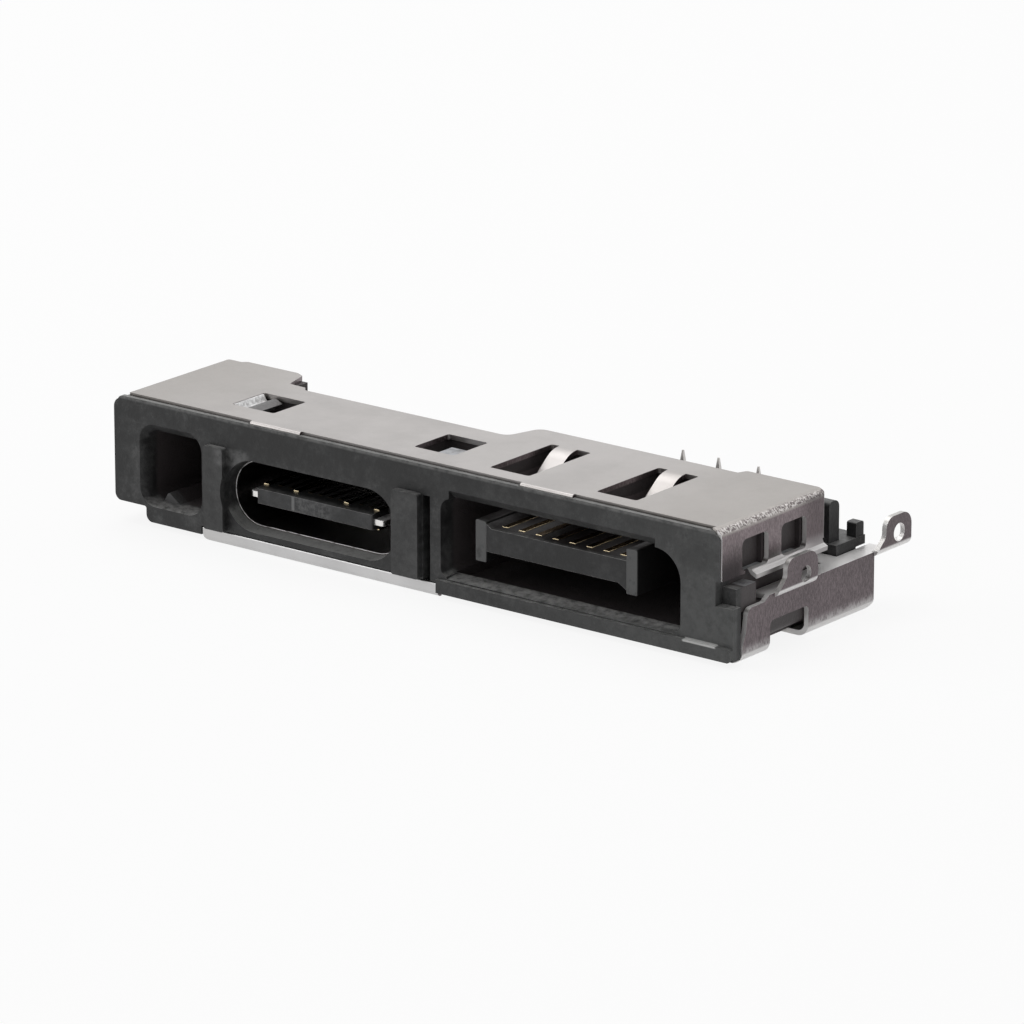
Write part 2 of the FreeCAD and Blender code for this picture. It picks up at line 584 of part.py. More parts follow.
def network_tongue(blades):
    """Thick moulded tongue with upright end walls, and the root that closes the cavity's rear."""
    wall = 0.5
    nose = tongue_recess + 0.02
    into_root = cavity_depth + 0.1
    tongue = box(keyed_left + 0.1, keyed_right - 0.1, nose, into_root, keyed_bottom, keyed_top)
    left_wall = front([(keyed_left, keyed_bottom - 0.43, 0.05), (keyed_left + wall, keyed_bottom - 0.43, 0.05),
                       (keyed_left + wall, keyed_top + 0.24, 0.05), (keyed_left, keyed_top + 0.28, 0.08)],
                      tongue_recess, into_root)
    right_wall = front([(keyed_right - wall, keyed_bottom - 0.35, 0.05), (keyed_right, keyed_bottom - 0.35, 0.05),
                        (keyed_right, keyed_top + 0.52, 0.08), (keyed_right - wall, keyed_top + 0.48, 0.05)],
                       tongue_recess, into_root)
    gusset_x = keyed_right - wall
    gusset = front([(gusset_x - 0.4, keyed_bottom, 0), (gusset_x + 0.1, keyed_bottom - 0.3, 0),
                    (gusset_x + 0.1, keyed_bottom + 0.1, 0)], nose, cavity_depth)
    brace_x = keyed_left + wall
    brace = front([(brace_x - 0.1, keyed_top + 0.22, 0), (brace_x - 0.1, keyed_top - 0.1, 0),
                   (brace_x + 0.4, keyed_top - 0.1, 0)], nose, cavity_depth)
    root = front([(cavity_left + play, cavity_floor + play, 0.25), (cavity_right - play, cavity_floor + play, 0.25),
                  (cavity_right - play, cavity_top - play, 1.15), (cavity_left + play, cavity_top - play, 0.45)],
                 cavity_depth, front_depth)
    return fuse(tongue, left_wall, right_wall, gusset, brace, root).cut(blades)


def rear_housing(embedded):
    """Plastic carrier behind the network port: it holds the tails, a tall post, a low post and a deck."""
    left = network_left + 0.4
    right = strip_inner - play
    inner_right = flange_inner - play
    start = front_depth + play
    deck = board_seat + 0.4
    deck_rear = shield_rear + 0.55
    body = box(left, right, flange_end + play, shield_rear - play, above_shield, deck)
    front_body = box(left, inner_right, start, flange_end + 0.1, above_shield, deck)
    under_flange = box(inner_right - 0.1, right, start, flange_end + 0.1, above_shield, board_seat - sheet - play)
    wall = box(left, cover_wall - 1.0, start, start + 0.62, deck - 0.1, seat_height - 0.25)
    sunk = deck - 0.1
    post_front = flange_end + 0.1
    tall_rear = post_front + 0.65
    tall_top = deck + 1.62
    tall_post = side([(post_front, sunk, 0), (tall_rear, sunk, 0), (tall_rear, tall_top, 0.3),
                      (post_front, tall_top, 0.2)], right - 1.0, right - 0.38)
    back_rear = post_front + 0.45
    back_top = deck + 1.12
    back_post = side([(post_front, sunk, 0), (back_rear, sunk, 0), (back_rear, back_top, 0.1),
                      (post_front, back_top, 0.1)], left + 0.3, right - 0.9)
    low_front = deck_rear - 0.57
    low_rear = low_front + 0.5
    low_top = deck + 0.58
    low_post = side([(low_front, sunk, 0), (low_rear, sunk, 0), (low_rear, low_top, 0.12),
                     (low_front, low_top, 0.08)], right - 0.45, right - 0.02)
    deck_edge = box(left, right, shield_rear - 0.2, deck_rear, board_seat + play, deck)
    return fuse(body, front_body, under_flange, wall, tall_post, back_post, low_post, deck_edge).cut(embedded)


pin_side = 0.16
pin_row = front_depth + 1.07
pin_places = (network_middle + 0.37, network_middle + 2.05, network_middle + 3.92)


def rear_pin(x):
    """Square pin with a pointed tip; it stands in the rear carrier and shows behind the cover."""
    half = pin_side / 2
    point = half * 0.4
    top = cover_top + play
    shoulder = top - 0.4

    def tapered(middle):
        return [(middle - half, cavity_floor, 0), (middle + half, cavity_floor, 0),
                (middle + half, shoulder, 0), (middle + point, top, 0), (middle - point, top, 0),
                (middle - half, shoulder, 0)]

    from_front = front(tapered(x), pin_row - half, pin_row + half)
    from_side = side(tapered(pin_row), x - half, x + half)
    return from_front.common(from_side)


def build():
    """Every piece of the jack by its name."""
    uppers = [usb_upper_contact(index) for index in range(port_contacts)]
    lowers = [usb_lower_contact(index) for index in range(port_contacts)]
    blades = [network_contact(index) for index in range(blade_count)]
    pins = [rear_pin(x) for x in pin_places]
    mid_plate = usb_mid_plate()
    upper_plate = usb_ground_plate(1)
    lower_plate = usb_ground_plate(-1)
    pieces = {
        "front_housing": front_housing(),
        "rear_housing": rear_housing(blades + pins),
        "top_cover": top_cover(),
        "lower_shield": lower_shield(),
        "usb_shell": usb_shell(),
        "usb_tongue": usb_tongue(uppers + lowers + [mid_plate, upper_plate, lower_plate]),
        "usb_mid_plate": mid_plate,
        "usb_upper_ground_plate": upper_plate,
        "usb_lower_ground_plate": lower_plate,
        "network_tongue": network_tongue(blades),
    }
    for index in range(port_contacts):
        pieces["usb_upper_contact_%d" % (index + 1)] = uppers[index]
        pieces["usb_lower_contact_%d" % (index + 1)] = lowers[index]
    for index in range(blade_count):
        pieces["network_contact_%d" % (index + 1)] = blades[index]
    for index in range(len(pins)):
        pieces["rear_pin_%d" % (index + 1)] = pins[index]
    return pieces


# The origin lies on the underside, below the middle of the whole part
rearmost = rear_eye[1]
to_origin = Vector(-eye_plane / 2, -(rearmost - rib_stand) / 2, 0)
for name, shape in build().items():
    if len(shape.Solids) == 1:
        shape = shape.Solids[0]
    shape.translate(to_origin)
    print(name, shape.ShapeType, len(shape.Solids), shape.isValid(), round(shape.Volume, 3))
    shape.exportStep("parts/%s.step" % name)
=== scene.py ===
import bpy
import math
import numpy as np
from mathutils import Matrix


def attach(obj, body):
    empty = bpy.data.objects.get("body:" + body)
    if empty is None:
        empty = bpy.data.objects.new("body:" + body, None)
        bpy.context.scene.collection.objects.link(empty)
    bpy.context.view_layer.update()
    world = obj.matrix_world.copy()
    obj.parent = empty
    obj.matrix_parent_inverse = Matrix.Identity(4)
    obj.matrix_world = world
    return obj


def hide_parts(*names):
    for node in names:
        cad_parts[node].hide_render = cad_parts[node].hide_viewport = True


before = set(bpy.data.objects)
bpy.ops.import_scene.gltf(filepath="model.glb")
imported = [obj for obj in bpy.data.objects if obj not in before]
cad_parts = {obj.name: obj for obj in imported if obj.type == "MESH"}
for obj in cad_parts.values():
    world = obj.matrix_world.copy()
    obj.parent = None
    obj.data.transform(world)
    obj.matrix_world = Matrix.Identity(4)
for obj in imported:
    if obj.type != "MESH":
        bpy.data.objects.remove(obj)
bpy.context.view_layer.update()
scene = bpy.context.scene
scene.view_settings.view_transform = "Standard"

# Studio: a white floor, one large soft lamp above and a fill at the left, in a plain white room that is
# dimmer for matt surfaces. The camera stands off the right front corner of the part.
lens = 246.1
eye = (0.159285, -0.202695, 0.08187)
heading = 38.09
dip = 17.24
camera = bpy.data.objects.new("camera", bpy.data.cameras.new("camera"))
camera.data.lens = lens
camera.data.sensor_width = 36
camera.data.clip_start = 0.01
camera.data.clip_end = 10
camera.location = eye
camera.rotation_euler = (math.radians(90 - dip), 0, math.radians(heading))
scene.collection.objects.link(camera)
scene.camera = camera


def soft_lamp(name, place, aim, size, power):
    """A square lamp at place that faces aim."""
    lamp = bpy.data.lights.new(name, "AREA")
    lamp.shape = "SQUARE"
    lamp.size = size
    lamp.energy = power
    holder = bpy.data.objects.new(name, lamp)
    way = np.array(aim) - np.array(place)
    holder.location = place
    holder.rotation_euler = (math.acos(-way[2] / np.linalg.norm(way)), 0, math.atan2(-way[0], way[1]))
    scene.collection.objects.link(holder)


soft_lamp("lamp_above", place=(-0.08, 0.05, 0.30), aim=(0, 0, 0), size=0.30, power=0.55)
soft_lamp("lamp_left", place=(-0.30, -0.22, 0.16), aim=(0, 0, 0), size=0.25, power=0.34)


class Number:
    """A value that varies over a surface; its operators add Math nodes to the material."""

    def __init__(self, finish, socket):
        self.finish = finish
        self.socket = socket

    def math(self, operation, first, second):
        return self.finish.node("ShaderNodeMath", {"operation": operation}, {0: first, 1: second})

    def __add__(self, other):
        return self.math("ADD", self, other)

    def __radd__(self, other):
        return self.math("ADD", other, self)

    def __sub__(self, other):
        return self.math("SUBTRACT", self, other)

    def __rsub__(self, other):
        return self.math("SUBTRACT", other, self)

    def __mul__(self, other):
        return self.math("MULTIPLY", self, other)

    def __rmul__(self, other):
        return self.math("MULTIPLY", other, self)


class Nodes:
    """The nodes of one material or of the world."""

    def __init__(self, tree):
        self.tree = tree

    def node(self, kind, settings, sockets, output=0):
        """A node of that kind: its settings first, then values or links for its sockets."""
        made = self.tree.nodes.new(kind)
        for key, value in settings.items():
            setattr(made, key, value)
        for key, value in sockets.items():
            if isinstance(value, Number):
                self.tree.links.new(value.socket, made.inputs[key])
            else:
                made.inputs[key].default_value = value
        return Number(self, made.outputs[output])

    def ray(self, kind):
        """1 for that kind of ray, 0 for any other."""
        return self.node("ShaderNodeLightPath", {}, {}, kind)


class Finish(Nodes):
    """A material as it is put together: its nodes, and what they give to its shader."""

    def __init__(self, name, constants=None):
        self.material = bpy.data.materials.new(name)
        self.material.use_nodes = True
        super().__init__(self.material.node_tree)
        self.shader = self.tree.nodes["Principled BSDF"]
        for socket, value in (constants or {}).items():
            self.shader.inputs[socket].default_value = value

    def place(self, scale=(1, 1, 1)):
        """Object coordinates in millimetres, stretched by scale."""
        texture = self.node("ShaderNodeTexCoord", {}, {}, "Object")
        return self.node("ShaderNodeMapping", {}, {"Vector": texture, "Scale": [1000 * s for s in scale]})

    def noise(self, scale, detail=3, rough=0.55, stretch=(1, 1, 1)):
        """Soft noise with about that many blobs a millimetre."""
        return self.node("ShaderNodeTexNoise", {}, {"Vector": self.place(stretch), "Scale": scale,
                                                    "Detail": detail, "Roughness": rough})

    def mix(self, factor, first, second):
        """The colour first where factor is 0, second where it is 1."""
        first = (*first, 1) if isinstance(first, tuple) else first
        second = (*second, 1) if isinstance(second, tuple) else second
        return self.node("ShaderNodeMix", {"data_type": "RGBA"}, {0: factor, 6: first, 7: second}, 2)

    def axis(self, name):
        """One object coordinate in millimetres."""
        return self.node("ShaderNodeSeparateXYZ", {}, {0: self.place()}, name)

    def between(self, value, low, high):
        """0 below low, 1 above high and a soft step between them."""
        return self.node("ShaderNodeMapRange", {"interpolation_type": "SMOOTHSTEP"},
                         {"Value": value, "From Min": low, "From Max": high})

    def facing(self, name):
        """How far the surface faces along an axis: 1 along it, -1 against it."""
        normal = self.node("ShaderNodeNewGeometry", {}, {}, "Normal")
        return self.node("ShaderNodeSeparateXYZ", {}, {0: normal}, name)

    def zone(self, name, low, high, soft=0.05):
        """1 where an object coordinate lies between low and high millimetres, with soft ends."""
        place = self.axis(name)
        past_high = self.between(place, high - soft, high + soft)
        return self.between(place, low - soft, low + soft) * (1 - past_high)

    def larger(self, first, second):
        """The larger of two values at each place."""
        return self.node("ShaderNodeMath", {"operation": "MAXIMUM"}, {0: first, 1: second})

    def edge(self):
        """1 on the softened edges of a piece, 0 elsewhere."""
        return self.node("ShaderNodeAttribute", {"attribute_name": "edge"}, {}, "Fac")

    def bump(self, height, depth, below=None):
        """A normal from height, which stands for depth in millimetres, on top of the normal below."""
        sockets = {"Height": height, "Distance": depth / 1000}
        if below is not None:
            sockets["Normal"] = below
        return self.node("ShaderNodeBump", {}, sockets, "Normal")

    def give(self, socket, value):
        """Link a value or colour to a socket of the shader."""
        self.tree.links.new(value.socket, self.shader.inputs[socket])


def floor_finish():
    """White paper: it shows white to the camera and in metal, with a trace of the shadow left in."""
    whitened = 0.88
    finish = Finish("paper_white", {"Base Color": (0.93, 0.93, 0.93, 1), "Roughness": 0.9})
    seen = finish.ray("Is Camera Ray") + finish.ray("Is Glossy Ray") + finish.ray("Is Transmission Ray")
    paper = Number(finish, finish.shader.outputs[0])
    glow = finish.node("ShaderNodeEmission", {}, {"Color": (1, 1, 1, 1), "Strength": 1.0})
    blend = finish.node("ShaderNodeMixShader", {}, {0: seen * whitened, 1: paper, 2: glow})
    finish.tree.links.new(blend.socket, finish.tree.nodes["Material Output"].inputs[0])
    return finish.material


half = 3.0
paper_sheet = bpy.data.meshes.new("floor")
paper_corners = [(-half, -half, 0), (half, -half, 0), (half, half, 0), (-half, half, 0)]
paper_sheet.from_pydata(paper_corners, [], [(0, 1, 2, 3)])
paper_sheet.materials.append(floor_finish())
floor = bpy.data.objects.new("floor", paper_sheet)
scene.collection.objects.link(floor)

matt_level = 0.34
world = bpy.data.worlds.new("studio")
world.use_nodes = True
scene.world = world
room = Nodes(world.node_tree)
background = room.tree.nodes["Background"]
background.inputs["Color"].default_value = (1, 1, 1, 1)
strength = (room.ray("Is Camera Ray") + room.ray("Is Glossy Ray")) * (1 - matt_level) + matt_level
room.tree.links.new(strength.socket, background.inputs["Strength"])


# Front housing: one glass-filled black moulding with a fine spark-eroded skin. Handling has polished and scuffed
# its edges grey and left dust in the texture; the grey edges and dusty ledges also carry a painted highlight and
# painted light. The three planes are at Y in millimetres.
face_y = -5.375
rib_y = -5.675
tongue_y = -5.075


def softened(node, name, width, finish):
    """The CAD node with its edges rounded by width millimetres; the rounded faces are marked as edge.

    The copy is merged, its flat facets are joined, it is bevelled at millimetre size and goes back to metres."""
    merge_reach = 0.0005
    flat_angle = math.radians(0.6)
    sharp_angle = math.radians(34)
    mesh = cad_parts[node].data.copy()
    mesh.transform(Matrix.Scale(1000, 4))
    mesh.shade_smooth()
    work = bpy.data.objects.new(name + "_work", mesh)
    scene.collection.objects.link(work)
    weld = work.modifiers.new("weld", "WELD")
    weld.merge_threshold = merge_reach
    flat = work.modifiers.new("flat", "DECIMATE")
    flat.decimate_type = "DISSOLVE"
    flat.angle_limit = flat_angle
    bevel = work.modifiers.new("bevel", "BEVEL")
    bevel.width = width
    bevel.segments = 2
    bevel.limit_method = "ANGLE"
    bevel.angle_limit = sharp_angle
    bevel.material = 1
    while len(mesh.materials) < 2:
        mesh.materials.append(None)
    even = work.modifiers.new("even", "WEIGHTED_NORMAL")
    even.keep_sharp = True
    graph = bpy.context.evaluated_depsgraph_get()
    made = bpy.data.meshes.new_from_object(work.evaluated_get(graph))
    bpy.data.objects.remove(work)
    count = len(made.polygons)
    index = np.zeros(count, dtype=np.int32)
    made.polygons.foreach_get("material_index", index)
    marked = made.attributes.new("edge", "FLOAT", "FACE")
    marked.data.foreach_set("value", (index == 1).astype(np.float32))
    made.polygons.foreach_set("material_index", np.zeros(count, dtype=np.int32))
    made.transform(Matrix.Scale(0.001, 4))
    made.materials.clear()
    made.materials.append(finish)
    piece = bpy.data.objects.new(name, made)
    scene.collection.objects.link(piece)
    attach(piece, "root")
    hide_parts(node)


def moulded_black(name, base, polish, dust, depth, painted_inside, marks=None):
    """Black plastic: mottled skin; grey edges from wear and a painted highlight; dust and painted light on
    ledges; behind Y = depth a flat painted inside tone, painted light where it is lighter than the skin and
    painted shade where it is darker.

    marks takes the material and its colour so far, and returns the colour with a piece's own marks."""
    finish = Finish(name, {"Specular IOR Level": 0.42})
    cloud = finish.noise(0.55, 4, 0.6)
    mottle = finish.noise(3.2, 5, 0.7)
    speck = finish.noise(15, 2)
    # Behind Y = depth the skin gives way to the painted inside tone, a painted light level for the inside of the
    # ports; wear and dust are mostly left off there.
    front_of_painted_inside = 1 - finish.between(finish.axis("Y"), depth, depth + 0.3)
    # Grey bevelled edges: handling wear, and a painted highlight where rounded edges catch the light.
    wear_and_edge_highlight = finish.edge() * finish.between(finish.noise(1.3, 4, 0.65), 0.22, 0.48) * (0.15 + front_of_painted_inside * 0.85)
    # Upward faces lightened: dust, and painted light on ledges that sit in shade.
    ledge_dust_and_light = finish.between(finish.facing("Z"), 0.5, 0.9) * finish.between(mottle, 0.15, 0.8) * front_of_painted_inside
    dusty = finish.between(mottle * 0.5 + cloud * 0.5 + speck * 0.15, 0.56, 0.78) * (0.2 + front_of_painted_inside * 0.8)
    colour = finish.mix(finish.between(cloud * 0.7 + mottle * 0.3, 0.4, 0.62), tuple(0.5 * c for c in base),
                        tuple(1.75 * c for c in base))
    colour = finish.mix(front_of_painted_inside, painted_inside, colour)
    colour = finish.mix(dusty * (0.5 * dust), colour, (0.12, 0.12, 0.118))
    colour = finish.mix(ledge_dust_and_light * dust, colour, (0.42, 0.417, 0.41))
    colour = finish.mix(wear_and_edge_highlight * 0.8, colour, (0.46, 0.455, 0.45))
    if marks is not None:
        colour = marks(finish, colour)
    finish.give("Base Color", colour)
    finish.give("Roughness", polish + cloud * 0.2 + speck * 0.08 - wear_and_edge_highlight * 0.1)
    skin = finish.bump(speck, 0.01)
    finish.give("Normal", finish.bump(mottle, 0.02, skin))
    return finish.material


def housing_marks(finish, colour):
    """Greyer skin toward the right end; the floors under the cover's windows lightened with dust and painted
    light; the network cavity painted lighter as painted light; the tray under the USB-C port lightened with dust
    and painted light; a painted sheen on a facet by the USB-C opening; a scuffed lip and ridge.
    """
    blotch = finish.between(finish.noise(2.4, 4, 0.65), 0.3, 0.62)
    upward = finish.between(finish.facing("Z"), 0.6, 0.9)
    front_side = 1 - finish.between(finish.axis("Y"), face_y + 0.175, face_y + 0.375)
    right = finish.between(finish.axis("X"), 2.0, 14.0) * front_side * (0.4 + blotch * 0.4)
    right = right * (1 - finish.between(finish.axis("Z"), 1.2, 4.2) * 0.6)
    colour = finish.mix(right, colour, (0.085, 0.087, 0.086))
    beam = front_side * finish.between(finish.axis("Z"), 3.7, 4.0) * finish.zone("X", -9.0, 9.0, 2.0)
    colour = finish.mix(beam * 0.45, colour, (0.006, 0.006, 0.006))
    ribs = 1 - finish.between(finish.axis("Y"), rib_y + 0.055, rib_y + 0.175)
    colour = finish.mix(ribs * (0.2 + blotch * 0.3), colour, (0.055, 0.055, 0.055))
    # Floors under the cover's windows painted light grey: dust, and painted light where they lie in the cover's
    # shade.
    floor_dust_and_light = upward * finish.zone("Z", 2.9, 4.95) * finish.zone("Y", -4.4, -0.4)
    colour = finish.mix(floor_dust_and_light * (0.35 + blotch * 0.65), colour, (0.50, 0.51, 0.53))
    lip = finish.zone("Z", 5.02, 5.2) * front_side
    colour = finish.mix(lip * (0.15 + blotch * 0.5), colour, (0.18, 0.18, 0.177))
    # Painted light: the network port's cavity is lifted to a reddish dark grey where little light reaches.
    cavity_painted_light = finish.zone("X", 2.2, 12.7) * finish.zone("Z", 0.7, 4.5) * finish.zone("Y", -4.4, 2.0, 0.3)
    colour = finish.mix(cavity_painted_light, colour, (0.13, 0.108, 0.112))
    # Upward tray faces under the USB-C port lightened: dust, and painted light on the lit lower lip.
    tray_dust_and_light = finish.zone("X", -10.0, -1.0) * finish.zone("Z", 0.4, 2.0)
    tray_dust_and_light = tray_dust_and_light * finish.between(finish.facing("Z"), 0.3, 0.6)
    colour = finish.mix(tray_dust_and_light * (0.35 + blotch * 0.65), colour, (0.24, 0.24, 0.235))
    # Painted sheen on the facet at the top left of the USB-C opening.
    facet_painted_sheen = finish.zone("X", -9.75, -8.35, 0.2) * finish.zone("Z", 3.3, 3.95, 0.12) * front_side
    colour = finish.mix(facet_painted_sheen * blotch * 0.7, colour, (0.13, 0.13, 0.13))
    ridge = finish.zone("X", -13.3, -12.15) * finish.zone("Z", 0.9, 1.5) * finish.zone("Y", -4.82, -4.3)
    colour = finish.mix(ridge * 0.8, colour, (0.10, 0.10, 0.10))
    scuff = finish.zone("X", 12.75, 14.25) * finish.zone("Z", 0.68, 0.80, 0.02)
    scuff = scuff * finish.zone("Y", rib_y - 0.025, face_y + 0.015)
    return finish.mix(scuff * 0.9, colour, (0.62, 0.62, 0.61))


# The housing's inside tone is lighter than its skin: painted light in the deep ports.
housing_black = moulded_black("moulded_housing", base=(0.017, 0.0172, 0.0175), polish=0.40, dust=0.85,
                              depth=face_y + 0.625, painted_inside=(0.056, 0.048, 0.049), marks=housing_marks)
softened("front_housing", "housing_front", 0.075, housing_black)


# Rear housing: a plainer black moulding behind the network port. The tails of the blades are pressed through it,
# and it clips to the front housing. All of it can be seen, so its painted inside tone is its own skin tone and
# it gets no painted light or shade.
carrier_tone = (0.018, 0.018, 0.019)
carrier_black = moulded_black("moulded_carrier", base=carrier_tone, polish=0.42, dust=0.35, depth=6.0,
                              painted_inside=carrier_tone)
softened("rear_housing", "housing_rear", 0.04, carrier_black)


# Top cover: nickel-plated steel sheet, folded over the right end, with two spring fingers. Its top is smudged by
# handling, the fold is hammered by the press tool, and the side wall shows fine grain, painted dark as a painted
# reflection of a dark room.
def satin_nickel(name, tint, wall_painted_tint, rough, marks=None):
    """Plated sheet: soft stains on the flat; fine grain on the walls that face +X, painted dark as a painted
    reflection; edges bright from rubbing and a painted highlight; front faces and downward folds at the outer
    end painted bright as painted highlight and painted floor reflection, and upward faces at mid height as
    painted light.

    marks takes the material, its colour and its relief so far, and returns both with a piece's own marks."""
    finish = Finish(name)
    stain = finish.noise(0.3, 5, 0.6)
    fine = finish.noise(3.5, 3)
    grain = finish.noise(17.0, 3, 0.7, (1, 1.3, 0.4))
    # Painted reflection: walls that face +X are painted dark for the dark room they mirror; the grain is real.
    wall_painted_dark = finish.between(finish.facing("X"), 0.86, 0.985)
    outer = finish.between(finish.axis("X"), 14.1, 14.2)
    # Painted highlight: front faces at the outer end are painted near white.
    rim_painted_highlight = finish.between(0 - finish.facing("Y"), 0.75, 0.95) * outer
    # Painted reflection of the white floor: the foot of the outer wall and its downward bends are painted
    # bright.
    foot_painted_reflection = 1 - finish.between(finish.axis("Z"), 0.2, 0.8)
    foot_painted_reflection = foot_painted_reflection * finish.between(grain * 0.5 + fine * 0.5, 0.3, 0.6)
    under_painted_reflection = finish.larger(finish.between(0 - finish.facing("Z"), 0.04, 0.36), foot_painted_reflection * 0.75) * outer
    # Painted light: upward faces at mid height are painted bright.
    shelf_painted_light = finish.between(finish.facing("Z"), 0.7, 0.95) * finish.zone("Z", 1.9, 3.4) * 0.85
    # Edges lightened where the plating is rubbed, and as a painted highlight on the rounded edges.
    rubbed = finish.edge() * finish.between(fine, 0.3, 0.5)
    smudge = finish.between(stain, 0.36, 0.66)
    along = finish.axis("X")
    ends = finish.larger(finish.between(along, 5.0, 14.0), finish.between(0 - along, 7.0, 14.5))
    colour = finish.mix(smudge * 0.6, tint, tuple(0.80 * c for c in tint))
    colour = finish.mix(ends * 0.55, colour, (0.72 * tint[0], 0.70 * tint[1], 0.66 * tint[2]))
    streaks = finish.between(grain * 0.7 + stain * 0.3, 0.38, 0.62)
    painted_dark_wall = finish.mix(streaks, tuple(0.72 * c for c in wall_painted_tint), tuple(1.3 * c for c in wall_painted_tint))
    colour = finish.mix(wall_painted_dark, colour, painted_dark_wall)
    relief = finish.bump(grain, 0.006)
    if marks is not None:
        colour, relief = marks(finish, colour, relief)
    # All these bright marks are painted near white and less metallic: rubbed wear, painted highlight, painted
    # floor reflection and painted light.
    bright = finish.larger(finish.larger(rubbed, rim_painted_highlight * 0.9), finish.larger(under_painted_reflection * 0.9, shelf_painted_light))
    colour = finish.mix(bright * 0.95, colour, (0.88, 0.865, 0.86))
    finish.give("Base Color", colour)
    finish.give("Metallic", 1 - bright * 0.75)
    finish.give("Roughness", rough + stain * 0.1 + fine * 0.08)
    finish.give("Normal", relief)
    return finish.material


def cover_marks(finish, colour, relief):
    """A narrow hammered band along the fold with painted highlight and painted shade specks; painted light on
    the flared skirt; the outer wall painted darker toward the front as a painted reflection, and darker toward
    the rear; the latch painted with a grainy sheen, with painted shade on its right part.
    """
    band = finish.zone("Z", 5.0, 5.18, 0.04) * finish.between(finish.axis("X"), 13.95, 14.1)
    beaten = finish.noise(11.0, 2, 0.6)
    # Painted highlight and painted shade: the hammered band's dents are painted as dark and bright specks.
    colour = finish.mix(band * (1 - finish.between(beaten, 0.40, 0.50)), colour, (0.16, 0.135, 0.14))
    colour = finish.mix(band * finish.between(beaten, 0.50, 0.60), colour, (0.62, 0.59, 0.58))
    outer = finish.between(finish.axis("X"), 14.2, 14.3)
    # Painted light: the lower flared skirt of the outer wall is painted light grey.
    skirt_painted_light = outer * (1 - finish.between(finish.axis("Z"), 3.2, 3.75))
    skirt_painted_light = skirt_painted_light * finish.between(finish.axis("Y"), -3.9, -3.3)
    colour = finish.mix(skirt_painted_light * 0.8, colour, (0.60, 0.585, 0.585))
    # Painted reflection: the outer wall's lower front is painted near black, a dark reflection.
    front_painted_dark_reflection = 1 - finish.between(finish.axis("Y"), -4.4, -3.2)
    front_painted_dark_reflection = front_painted_dark_reflection * (1 - finish.between(finish.axis("Z"), 3.5, 4.8))
    colour = finish.mix(front_painted_dark_reflection * outer * 0.9, colour, (0.02, 0.017, 0.018))
    rearward = finish.between(finish.axis("Y"), -1.2, 0.6)
    colour = finish.mix(rearward * outer * 0.6, colour, (0.05, 0.040, 0.043))
    latch = finish.zone("X", -10.45, -9.3) * finish.zone("Y", -3.84, -2.0)
    latch = latch * (1 - finish.between(finish.axis("Z"), 5.2, 5.23))
    crumpled = finish.noise(8.0, 4, 0.7)
    # Painted sheen on the latch's rolled sheet, with painted shade on its right part.
    rolled_painted_sheen = finish.mix(finish.between(crumpled, 0.35, 0.65), (0.40, 0.395, 0.395), (0.72, 0.72, 0.72))
    rolled_painted_sheen = finish.mix(finish.between(finish.axis("X"), -10.0, -9.8), rolled_painted_sheen, (0.13, 0.127, 0.127))
    colour = finish.mix(latch, colour, rolled_painted_sheen)
    return colour, finish.bump(beaten * band + crumpled * latch, 0.03, relief)


cover_nickel = satin_nickel("nickel_cover", tint=(0.42, 0.40, 0.39), wall_painted_tint=(0.19, 0.158, 0.165),
                            rough=0.27, marks=cover_marks)
softened("top_cover", "cover_top", 0.035, cover_nickel)


# Lower shield: the same kind of sheet under the part, plated a little lighter. It is folded up the right end
# as a wall, and out as the solder flange with its two eye tabs.
shield_nickel = satin_nickel("nickel_shield", tint=(0.56, 0.555, 0.555), wall_painted_tint=(0.125, 0.104, 0.110),
                             rough=0.29)
softened("lower_shield", "shield_lower", 0.035, shield_nickel)


# USB-C port: a drawn steel tube round a black tongue. A bright stamped plate lies in the tongue's middle, and
# a thin ground plate on each side of it; the tongue is moulded round them.
# Painted shade: the tube's steel is painted dark all over for its deep, shaded inside, and its rims are painted
# bright as a painted highlight.
tube_painted_dark = satin_nickel("nickel_tube_painted_dark", tint=(0.13, 0.122, 0.12), wall_painted_tint=(0.11, 0.10, 0.10), rough=0.26)
softened("usb_shell", "tube", 0.03, tube_painted_dark)


def tongue_marks(finish, colour):
    """The gate's torn mark and a lighter rubbed patch on the tongue's front face."""
    front_side = 1 - finish.between(finish.axis("Y"), tongue_y + 0.035, tongue_y + 0.075)
    gate = finish.zone("X", -6.41, -6.27, 0.04) * finish.zone("Z", 1.95, 2.6)
    patch = finish.zone("X", -6.3, -4.5, 0.25) * finish.between(finish.noise(6.0, 4, 0.7), 0.42, 0.62) * 0.45
    return finish.mix(finish.larger(gate, patch) * front_side, colour, (0.16, 0.16, 0.16))


# The tongue's inside tone is darker than its skin: painted shade on its top behind the front face.
tongue_black = moulded_black("moulded_tongue", base=(0.024, 0.024, 0.025), polish=0.36, dust=0.2,
                             depth=tongue_y + 0.045, painted_inside=(0.009, 0.009, 0.009), marks=tongue_marks)
softened("usb_tongue", "tongue_usb", 0.03, tongue_black)
bright_plate = satin_nickel("nickel_plate", tint=(0.80, 0.79, 0.77), wall_painted_tint=(0.70, 0.69, 0.67), rough=0.2)
for node in ("usb_mid_plate", "usb_upper_ground_plate", "usb_lower_ground_plate"):
    softened(node, node.replace("usb_", "port_"), 0.02, bright_plate)


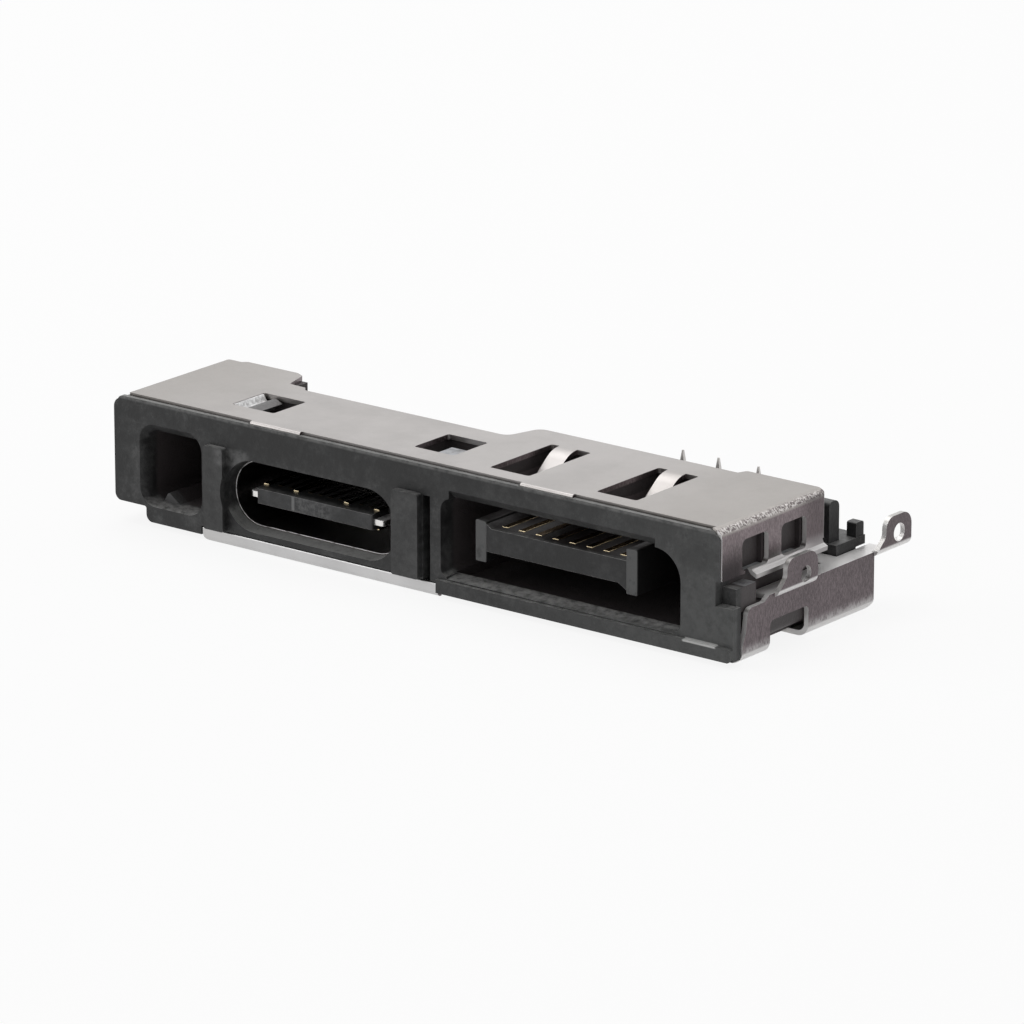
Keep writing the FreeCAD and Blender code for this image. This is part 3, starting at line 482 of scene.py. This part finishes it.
# Network port: a keyed black tongue that carries eight gold blades on its top. It is one moulding with two
# upright end walls, whose fronts the plug has rubbed grey.
def key_marks(finish, colour):
    """Greyer fronts on the two end walls, where the plug rubs, and painted shade on the faces that face +X."""
    front_side = 1 - finish.between(finish.axis("Y"), tongue_y + 0.035, tongue_y + 0.075)
    ends = finish.larger(finish.zone("X", 2.5, 3.14), finish.zone("X", 9.79, 10.4))
    # Painted shade: faces turned toward +X are painted near black.
    colour = finish.mix(finish.between(finish.facing("X"), 0.5, 0.9), colour, (0.006, 0.006, 0.006))
    rubbed = ends * front_side * finish.between(finish.noise(2.0, 4), 0.2, 0.5)
    return finish.mix(rubbed, colour, (0.085, 0.086, 0.086))


# The key's inside tone is a flat dark painted shade behind its front.
key_black = moulded_black("moulded_key", base=(0.012, 0.012, 0.0125), polish=0.42, dust=0.3,
                          depth=tongue_y + 0.045, painted_inside=(0.014, 0.012, 0.012), marks=key_marks)
softened("network_tongue", "tongue_network", 0.04, key_black)


# Contacts: stamped copper alloy, gold plated over nickel, each one blade with its tail. The power and ground
# blades of the USB-C port reach further forward than the others; a painted glint is put on the blades' front
# ends and edges, and the blades inside the ports are painted dark as painted shade.
def plated_gold(name, tip_painted_glint, inside, port_painted_shade):
    """Gold plating; inside the port it is painted dark as painted shade, with a painted glint on the front end
    and edges.

    inside is where the port ends and the clean tail starts, along Y; the argument before it sets the painted
    glint, and the one after it how far the painted shade darkens what is in the port."""
    finish = Finish(name, {"Metallic": 1.0})
    rubbed = finish.noise(3.0, 3, 0.6, (1, 0.2, 1))
    # Painted glint: the front end of each blade is painted bright gold.
    tip = (1 - finish.between(finish.axis("Y"), -4.68, -4.56)) * tip_painted_glint
    clean = finish.between(finish.axis("Y"), inside, inside + 0.2)
    bright = finish.larger(tip, finish.edge() * (tip_painted_glint * (1 - port_painted_shade)))
    # Painted shade: inside the port the gold is painted near black.
    clear = 1 - port_painted_shade
    painted_shade_gold = tuple(clear * c for c in (0.12, 0.08, 0.04))
    shaded_gold = finish.mix(rubbed, painted_shade_gold, tuple(2 * c for c in painted_shade_gold))
    colour = finish.mix(bright, shaded_gold, (0.98, 0.82, 0.54))
    fresh = finish.mix(rubbed, (0.72, 0.48, 0.19), (0.90, 0.66, 0.33))
    finish.give("Base Color", finish.mix(clean, colour, fresh))
    finish.give("Roughness", 0.2 + rubbed * 0.12)
    finish.give("Normal", finish.bump(rubbed, 0.002))
    return finish.material


# Each set of blades: strength of its painted glint, and how far the painted shade darkens it inside the port.
long_gold = plated_gold("gold_long", tip_painted_glint=1.0, inside=1.0, port_painted_shade=0.9)
short_gold = plated_gold("gold_short", tip_painted_glint=0.1, inside=1.0, port_painted_shade=0.95)
network_gold = plated_gold("gold_network", tip_painted_glint=1.0, inside=1.5, port_painted_shade=0.25)
long_blades = ("1", "4", "9", "12")
for node in list(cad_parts):
    if "contact" not in node:
        continue
    if node.startswith("network"):
        softened(node, node.replace("network_contact", "blade_network"), 0.02, network_gold)
    else:
        gold = long_gold if node.split("_")[-1] in long_blades else short_gold
        softened(node, node.replace("usb_", "blade_"), 0.015, gold)


# Rear pins: three tinned square pins with drawn points, pressed into the rear carrier. They stand above the
# rear edge of the cover. Their CAD shape is right, so they keep it.
def tinned():
    """Dull tin with a slightly uneven skin."""
    finish = Finish("tin_plating", {"Metallic": 1.0})
    uneven = finish.noise(4.0, 3)
    finish.give("Base Color", finish.mix(uneven, (0.50, 0.48, 0.47), (0.66, 0.64, 0.62)))
    finish.give("Roughness", 0.32 + uneven * 0.2)
    finish.give("Normal", finish.bump(uneven, 0.01))
    return finish.material


tin = tinned()
for node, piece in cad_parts.items():
    if node.startswith("rear_pin"):
        piece.data.materials.clear()
        piece.data.materials.append(tin)
